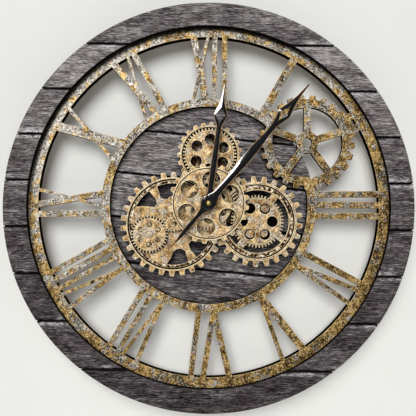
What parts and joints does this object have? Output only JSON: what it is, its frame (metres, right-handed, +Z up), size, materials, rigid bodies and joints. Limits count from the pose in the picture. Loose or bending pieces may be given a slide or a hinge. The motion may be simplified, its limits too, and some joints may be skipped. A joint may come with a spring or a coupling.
{
  "type": "skeleton clock",
  "caption": "Round open-dial wall clock: plank frame, cut-out numerals, show gears turned by a hidden drive, two diamond hands on a long-shaft movement.",
  "frame": {"origin": "centre of the movement cover's wall face, on the hands' axis, in the wall plane", "axes": "face looks along -Y, +Z up towards twelve, +X towards three"},
  "size_m": [0.6, 0.064, 0.6],
  "materials": {
    "dark_planks": "weathered dark grey planks, matt",
    "antique_gold": "distressed metallic gold foil over board, rust specks, black edges",
    "gear_gold": "cream gold metallic paint with dark antiquing",
    "gear_bronze": "rusty bronze paint",
    "black_lacquer": "gloss black enamel with a thin gold edge",
    "brass": "satin",
    "steel": "satin",
    "black_case": "moulded, fine texture",
    "nylon": "natural nylon",
    "cell_wrap": "plain printed wrap, no text",
    "coil_copper": "enamelled wire",
    "circuit_green": "solder mask",
    "spacer_rubber": "matt"
  },
  "bodies": {
    "clock_body": {"frame_ring": "dark_planks", "centre_disc": "dark_planks", "dial_plate": "antique_gold", "hanger_plate": "steel", "hanger_screw_1": "steel", "hanger_screw_2": "steel", "disc_screw_1": "steel", "disc_screw_2": "steel", "disc_screw_3": "steel", "wall_spacer_1": "spacer_rubber", "wall_spacer_2": "spacer_rubber", "wall_spacer_3": "spacer_rubber", "wall_spacer_4": "spacer_rubber", "left_wheel": "gear_gold", "wheel_post_1": "brass", "wheel_post_2": "brass", "wheel_post_3": "brass", "right_bush": "brass", "top_bush": "brass", "left_bush": "brass", "small_gear_stud": "gear_gold", "movement_case": "black_case", "movement_cover": "black_case", "movement_battery": "cell_wrap", "movement_contact_minus": "steel", "movement_contact_plus": "steel", "step_motor_coil": "coil_copper", "circuit_board": "circuit_green", "shaft_bushing": "brass", "bushing_nut": "brass", "drive_case": "black_case", "drive_cover": "black_case", "drive_motor": "steel", "drive_battery": "cell_wrap", "drive_contact_minus": "steel", "drive_contact_plus": "steel"},
    "minute_train": {"minute_shaft": "steel", "minute_hand": "black_lacquer", "hand_nut": "brass"},
    "hour_train": {"hour_tube": "brass", "hour_hand": "black_lacquer"},
    "minute_wheel": {"minute_wheel": "nylon"},
    "setting_knob": {"setting_knob": "nylon"},
    "right_train": {"right_wheel": "gear_gold", "right_drive_gear": "gear_bronze", "right_arbor": "steel", "output_gear": "nylon"},
    "centre_train": {"centre_wheel": "gear_gold", "sun_gear": "gear_bronze"},
    "top_train": {"top_wheel": "gear_gold", "top_inner_gear": "gear_gold", "top_arbor": "steel", "top_drive_gear": "gear_bronze"},
    "left_train": {"left_pinion_arbor": "gear_gold", "left_drive_gear": "gear_bronze"},
    "small_gear": {"small_gear": "gear_gold"},
    "reduction_gear": {"reduction_gear": "nylon"},
    "motor_rotor": {"motor_pinion": "brass"},
    "drive_switch": {"drive_switch": "nylon"}
  },
  "joints": [
    {"name": "minute_spin", "type": "hinge", "parent": "clock_body", "child": "minute_train", "pos_m": [0, 0, 0], "axis": [0, 1, 0], "continuous": true},
    {"name": "hour_spin", "type": "hinge", "parent": "clock_body", "child": "hour_train", "pos_m": [0, 0, 0], "axis": [0, 1, 0], "continuous": true},
    {"name": "minute_wheel_spin", "type": "hinge", "parent": "clock_body", "child": "minute_wheel", "pos_m": [0.01039, 0, 0.006], "axis": [0, 1, 0], "continuous": true},
    {"name": "setting_knob_spin", "type": "hinge", "parent": "clock_body", "child": "setting_knob", "pos_m": [0.00831, 0, 0.01782], "axis": [0, 1, 0], "continuous": true},
    {"name": "right_wheel_spin", "type": "hinge", "parent": "clock_body", "child": "right_train", "pos_m": [0.07048, 0, -0.02564], "axis": [0, 1, 0], "continuous": true},
    {"name": "centre_wheel_spin", "type": "hinge", "parent": "clock_body", "child": "centre_train", "pos_m": [0, 0, 0], "axis": [0, 1, 0], "continuous": true},
    {"name": "top_wheel_spin", "type": "hinge", "parent": "clock_body", "child": "top_train", "pos_m": [0.00159, 0, 0.07198], "axis": [0, 1, 0], "continuous": true},
    {"name": "left_pinion_spin", "type": "hinge", "parent": "clock_body", "child": "left_train", "pos_m": [-0.0524, 0, -0.0292], "axis": [0, 1, 0], "continuous": true},
    {"name": "small_gear_spin", "type": "hinge", "parent": "clock_body", "child": "small_gear", "pos_m": [-0.08595, 0, -0.04475], "axis": [0, 1, 0], "continuous": true},
    {"name": "reduction_spin", "type": "hinge", "parent": "clock_body", "child": "reduction_gear", "pos_m": [0.09048, 0, -0.02564], "axis": [0, 1, 0], "continuous": true},
    {"name": "motor_spin", "type": "hinge", "parent": "clock_body", "child": "motor_rotor", "pos_m": [0.1058, 0, -0.01278], "axis": [0, 1, 0], "continuous": true},
    {"name": "drive_switch_slide", "type": "slide", "parent": "clock_body", "child": "drive_switch", "axis": [0, 0, 1], "range_m": [0, 0.004]}
  ],
  "couplings": [
    {"joint": "hour_spin", "follows": "minute_spin", "ratio": 0.083333},
    {"joint": "minute_wheel_spin", "follows": "minute_spin", "ratio": -0.33333},
    {"joint": "setting_knob_spin", "follows": "minute_spin", "ratio": 1},
    {"joint": "centre_wheel_spin", "follows": "right_wheel_spin", "ratio": -0.78571},
    {"joint": "top_wheel_spin", "follows": "right_wheel_spin", "ratio": 1.1},
    {"joint": "left_pinion_spin", "follows": "right_wheel_spin", "ratio": 1.8333},
    {"joint": "small_gear_spin", "follows": "right_wheel_spin", "ratio": -0.8381},
    {"joint": "reduction_spin", "follows": "right_wheel_spin", "ratio": -3},
    {"joint": "motor_spin", "follows": "right_wheel_spin", "ratio": 9}
  ]
}
